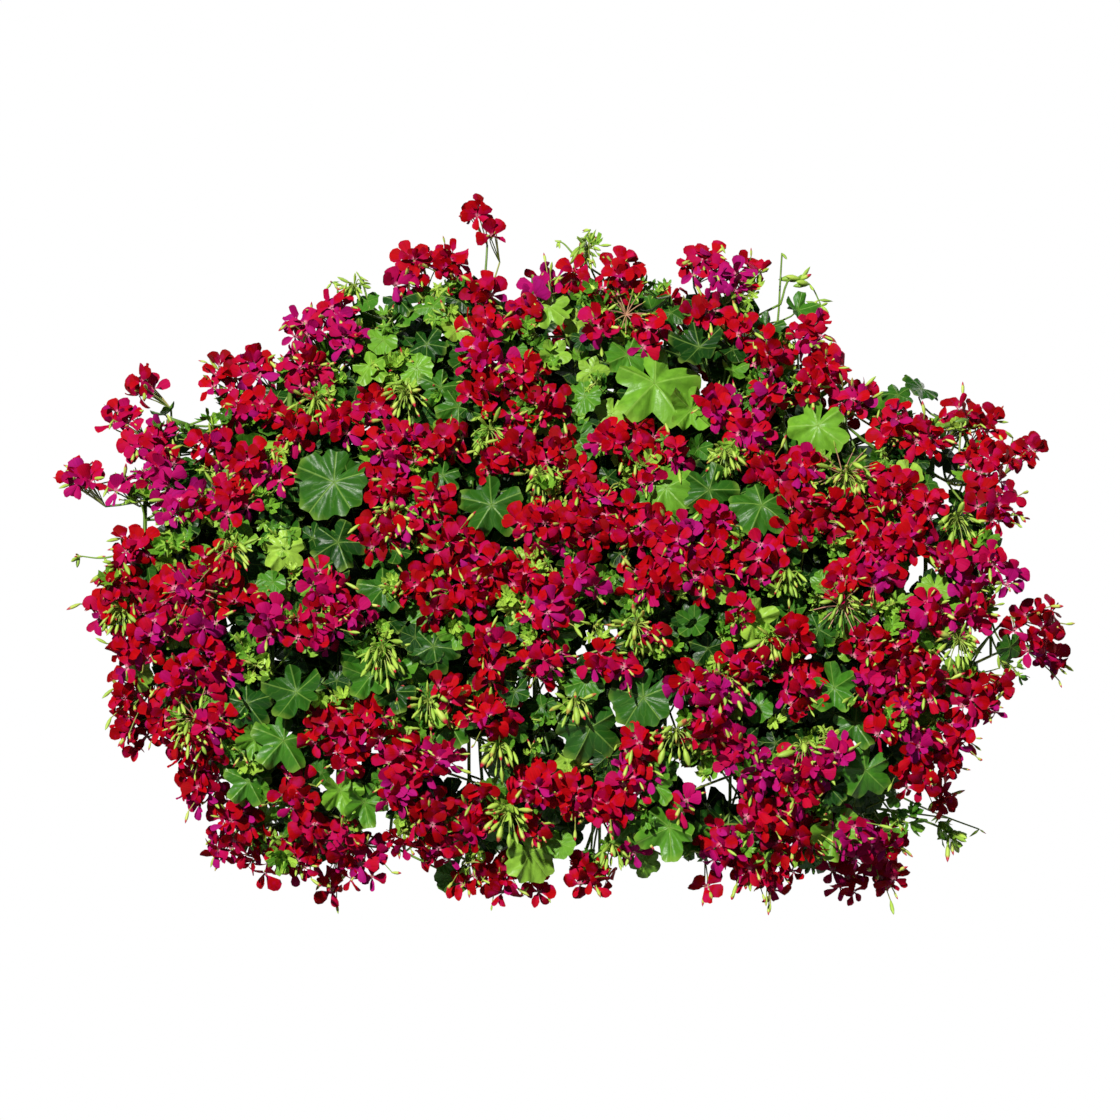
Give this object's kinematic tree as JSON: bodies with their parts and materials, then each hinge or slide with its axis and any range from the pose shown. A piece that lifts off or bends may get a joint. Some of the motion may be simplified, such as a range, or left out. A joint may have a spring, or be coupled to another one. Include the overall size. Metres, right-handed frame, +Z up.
{
  "type": "planted window box",
  "caption": "Wall-hung window box filled with trailing ivy-leaved geraniums in red flower, its trough carried by two steel brackets on a rail.",
  "frame": {"origin": "on the wall plane, at the middle of the back face of the steel rail", "axes": "+Z up, +X along the box to the viewer's right, +Y into the wall, so the planted front faces -Y"},
  "size_m": [1.0039, 0.3488, 0.705],
  "materials": {
    "trough_plastic": "injection-moulded dark green polypropylene, satin",
    "potting_soil": "loose damp peat-free compost with bark crumbs",
    "holder_steel": "flat bar with dark powder coat",
    "foliage": "fleshy ivy-shaped leaves with a waxy gloss, green stems and buds",
    "petals_red": "soft velvety crimson petals",
    "petals_magenta": "soft velvety crimson-magenta petals"
  },
  "bodies": {
    "root": {"blooms_01": "petals_red", "blooms_02": "petals_red", "blooms_03": "petals_red", "blooms_04": "petals_red", "blooms_05": "petals_magenta", "blooms_06": "petals_red", "blooms_07": "petals_magenta", "blooms_08": "petals_red", "blooms_09": "petals_red", "blooms_10": "petals_red", "blooms_11": "petals_red", "blooms_12": "petals_red", "blooms_13": "petals_red", "blooms_14": "petals_red", "blooms_15": "petals_red", "blooms_16": "petals_magenta", "blooms_17": "petals_red", "blooms_18": "petals_red", "blooms_19": "petals_red", "blooms_20": "petals_red", "blooms_21": "petals_red", "blooms_22": "petals_red", "blooms_23": "petals_red", "blooms_24": "petals_magenta", "blooms_25": "petals_red", "blooms_26": "petals_red", "blooms_27": "petals_red", "blooms_28": "petals_red", "blooms_29": "petals_red", "blooms_30": "petals_red", "blooms_31": "petals_red", "blooms_32": "petals_magenta", "blooms_33": "petals_red", "blooms_34": "petals_red", "blooms_35": "petals_magenta", "blooms_36": "petals_red", "blooms_37": "petals_red", "blooms_38": "petals_red", "blooms_39": "petals_red", "blooms_40": "petals_red", "bracket_left": "holder_steel", "bracket_right": "holder_steel", "leafy_stem_01": "foliage", "leafy_stem_02": "foliage", "leafy_stem_03": "foliage", "leafy_stem_04": "foliage", "leafy_stem_05": "foliage", "leafy_stem_06": "foliage", "leafy_stem_07": "foliage", "leafy_stem_08": "foliage", "leafy_stem_09": "foliage", "leafy_stem_10": "foliage", "leafy_stem_11": "foliage", "leafy_stem_12": "foliage", "leafy_stem_13": "foliage", "leafy_stem_14": "foliage", "soil": "potting_soil", "trough": "trough_plastic", "wall_rail": "holder_steel"}
  },
  "joints": []
}
